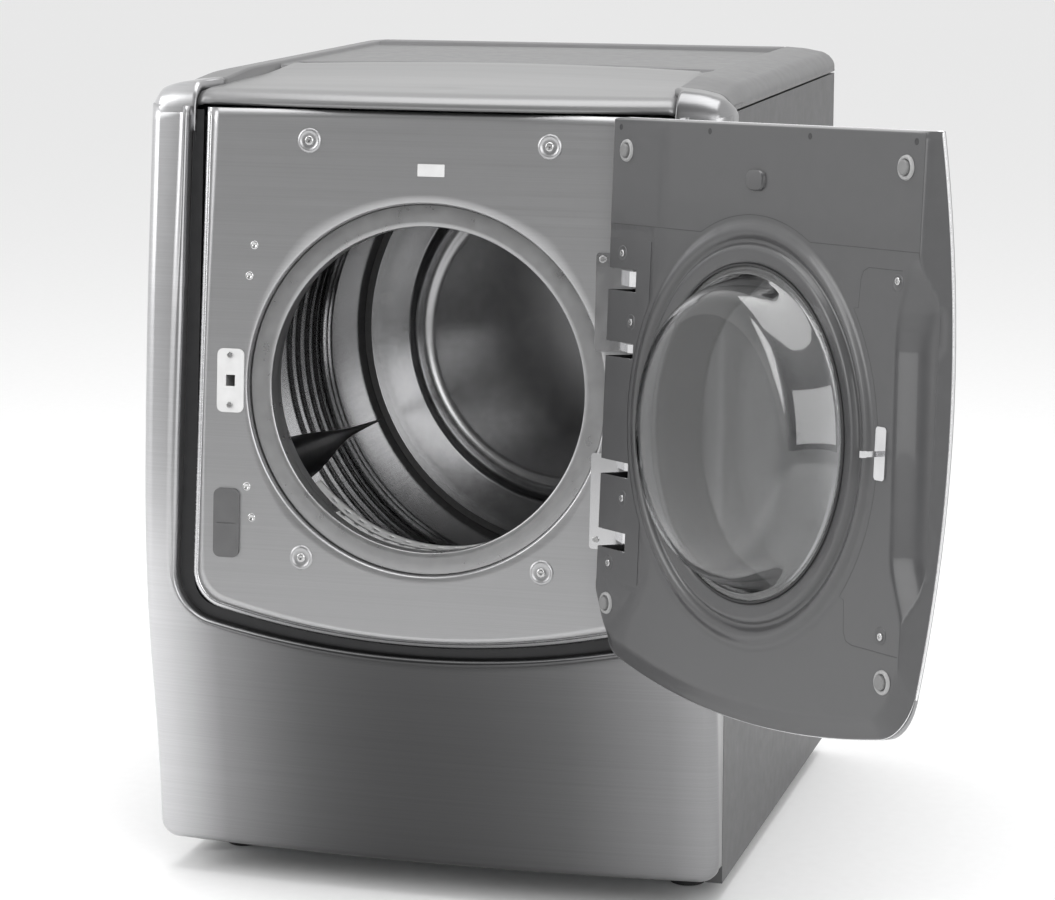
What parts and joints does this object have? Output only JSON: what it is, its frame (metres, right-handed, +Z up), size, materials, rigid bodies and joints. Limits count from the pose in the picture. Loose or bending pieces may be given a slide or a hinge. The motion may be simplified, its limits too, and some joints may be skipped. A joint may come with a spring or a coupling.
{
  "type": "tumble dryer",
  "caption": "Front-loading tumble dryer with a recessed front, round opening, ribbed steel drum and a hinged door with a glass bowl window standing open.",
  "frame": {"origin": "floor-level centre of the rectangle of the four levelling feet", "axes": "+Z up, +X to the right seen from the front, +Y from the front to the back"},
  "size_m": [1.0713, 1.2794, 1.017],
  "materials": {
    "front_frame": "satin",
    "recess_channel": "plain",
    "front_panel": "satin",
    "opening_ring": "satin",
    "side_panel_left": "satin",
    "side_panel_right": "satin",
    "rear_panel": "satin",
    "base_pan": "satin",
    "top_cover": "satin",
    "top_lip": "satin",
    "front_bulkhead": "satin",
    "rear_bulkhead": "satin",
    "drum_seals": "plain",
    "lint_duct": "plain",
    "lint_grille": "plain",
    "moisture_bars": "satin",
    "drum_lamp": "plain",
    "latch": "plain",
    "cover_plate": "plain",
    "label_plate": "plain",
    "hinge_brackets": "plain",
    "panel_screws": "plain",
    "control_board": "plain",
    "terminal_cover": "satin",
    "heater_box": "satin",
    "exhaust_duct": "plain",
    "blower_housing": "plain",
    "motor": "plain",
    "idler_bracket": "satin",
    "roller_axles": "satin",
    "belt": "plain",
    "door_skin": "satin",
    "door_liner": "plain",
    "door_upper_liner": "plain",
    "door_hinge_cover": "plain",
    "door_handle_cover": "plain",
    "door_outer_glass": "plain",
    "door_bowl": "plain",
    "door_window_ring": "plain",
    "door_seal": "plain",
    "door_bumpers": "plain",
    "door_hook": "plain",
    "hinge_leaves": "plain",
    "door_screws": "satin",
    "control_fascia": "plain",
    "cycle_dial": "satin",
    "power_button": "plain",
    "start_button": "plain",
    "drum": "satin",
    "lifters": "plain",
    "rotor": "plain",
    "idler_arm": "satin",
    "idler_pulley": "plain",
    "roller_left": "plain",
    "roller_right": "plain",
    "lint_filter": "plain",
    "foot_front_left": "plain",
    "foot_rear_left": "plain",
    "foot_front_right": "plain",
    "foot_rear_right": "plain"
  },
  "bodies": {
    "cabinet": {"front_frame": "front_frame", "recess_channel": "recess_channel", "front_panel": "front_panel", "opening_ring": "opening_ring", "side_panel_left": "side_panel_left", "side_panel_right": "side_panel_right", "rear_panel": "rear_panel", "base_pan": "base_pan", "top_cover": "top_cover", "top_lip": "top_lip", "front_bulkhead": "front_bulkhead", "rear_bulkhead": "rear_bulkhead", "drum_seals": "drum_seals", "lint_duct": "lint_duct", "lint_grille": "lint_grille", "moisture_bars": "moisture_bars", "drum_lamp": "drum_lamp", "latch": "latch", "cover_plate": "cover_plate", "label_plate": "label_plate", "hinge_brackets": "hinge_brackets", "panel_screws": "panel_screws", "control_board": "control_board", "terminal_cover": "terminal_cover", "heater_box": "heater_box", "exhaust_duct": "exhaust_duct", "blower_housing": "blower_housing", "motor": "motor", "idler_bracket": "idler_bracket", "roller_axles": "roller_axles", "belt": "belt"},
    "door": {"door_skin": "door_skin", "door_liner": "door_liner", "door_upper_liner": "door_upper_liner", "door_hinge_cover": "door_hinge_cover", "door_handle_cover": "door_handle_cover", "door_outer_glass": "door_outer_glass", "door_bowl": "door_bowl", "door_window_ring": "door_window_ring", "door_seal": "door_seal", "door_bumpers": "door_bumpers", "door_hook": "door_hook", "hinge_leaves": "hinge_leaves", "door_screws": "door_screws", "control_fascia": "control_fascia"},
    "dial": {"cycle_dial": "cycle_dial"},
    "power": {"power_button": "power_button"},
    "start": {"start_button": "start_button"},
    "drum_set": {"drum": "drum", "lifters": "lifters"},
    "motor_rotor": {"rotor": "rotor"},
    "tension_arm": {"idler_arm": "idler_arm"},
    "tension_pulley": {"idler_pulley": "idler_pulley"},
    "support_left": {"roller_left": "roller_left"},
    "support_right": {"roller_right": "roller_right"},
    "filter": {"lint_filter": "lint_filter"},
    "foot_fl": {"foot_front_left": "foot_front_left"},
    "foot_rl": {"foot_rear_left": "foot_rear_left"},
    "foot_fr": {"foot_front_right": "foot_front_right"},
    "foot_rr": {"foot_rear_right": "foot_rear_right"}
  },
  "joints": [
    {"name": "door_swing", "type": "hinge", "parent": "cabinet", "child": "door", "pos_m": [0.2745, -0.47206, 0.64721], "axis": [0.007, 0.092, 0.9957], "range_deg": [-136.2, 0]},
    {"name": "dial_turn", "type": "hinge", "parent": "door", "child": "dial", "pos_m": [0.49213, -0.62035, 0.93856], "axis": [0.6855, 0.7231, 0.0853], "continuous": true},
    {"name": "power_press", "type": "slide", "parent": "door", "child": "power", "axis": [-0.7227, -0.6855, -0.088], "range_m": [0, 0.002], "stiffness_N_per_m": 600},
    {"name": "start_press", "type": "slide", "parent": "door", "child": "start", "axis": [-0.6464, -0.7586, -0.0825], "range_m": [0, 0.002], "stiffness_N_per_m": 600},
    {"name": "drum_spin", "type": "hinge", "parent": "cabinet", "child": "drum_set", "pos_m": [0, -0.03475, 0.62297], "axis": [0, 0.9986, -0.0523], "continuous": true},
    {"name": "motor_spin", "type": "hinge", "parent": "cabinet", "child": "motor_rotor", "pos_m": [-0.15, -0.20809, 0.18143], "axis": [0, 0.9986, -0.0523], "continuous": true},
    {"name": "roller_left_spin", "type": "hinge", "parent": "cabinet", "child": "support_left", "pos_m": [-0.19877, 0.25897, 0.32331], "axis": [0, 0.9986, -0.0523], "continuous": true},
    {"name": "roller_right_spin", "type": "hinge", "parent": "cabinet", "child": "support_right", "pos_m": [0.19877, 0.25897, 0.32331], "axis": [0, 0.9986, -0.0523], "continuous": true},
    {"name": "tension_swing", "type": "hinge", "parent": "cabinet", "child": "tension_arm", "pos_m": [-0.24496, -0.12817, 0.21613], "axis": [0, 0.9986, -0.0523], "range_deg": [-12, 0], "stiffness_Nm_per_rad": 2},
    {"name": "tension_pulley_spin", "type": "hinge", "parent": "tension_arm", "child": "tension_pulley", "pos_m": [-0.23896, -0.1111, 0.29334], "axis": [0, 0.9986, -0.0523], "continuous": true},
    {"name": "filter_lift", "type": "slide", "parent": "cabinet", "child": "filter", "axis": [0, 0.0523, 0.9986], "range_m": [0, 0.19]},
    {"name": "foot_fl_turn", "type": "hinge", "parent": "cabinet", "child": "foot_fl", "pos_m": [-0.3, -0.28, 0.03], "axis": [0, 0, 1], "continuous": true},
    {"name": "foot_rl_turn", "type": "hinge", "parent": "cabinet", "child": "foot_rl", "pos_m": [-0.3, 0.28, 0.03], "axis": [0, 0, 1], "continuous": true},
    {"name": "foot_fr_turn", "type": "hinge", "parent": "cabinet", "child": "foot_fr", "pos_m": [0.3, -0.28, 0.03], "axis": [0, 0, 1], "continuous": true},
    {"name": "foot_rr_turn", "type": "hinge", "parent": "cabinet", "child": "foot_rr", "pos_m": [0.3, 0.28, 0.03], "axis": [0, 0, 1], "continuous": true}
  ],
  "couplings": [
    {"joint": "motor_spin", "follows": "drum_spin", "ratio": 14.509},
    {"joint": "roller_left_spin", "follows": "drum_spin", "ratio": -11.822},
    {"joint": "roller_right_spin", "follows": "drum_spin", "ratio": -11.822},
    {"joint": "tension_pulley_spin", "follows": "drum_spin", "ratio": -17.733}
  ]
}
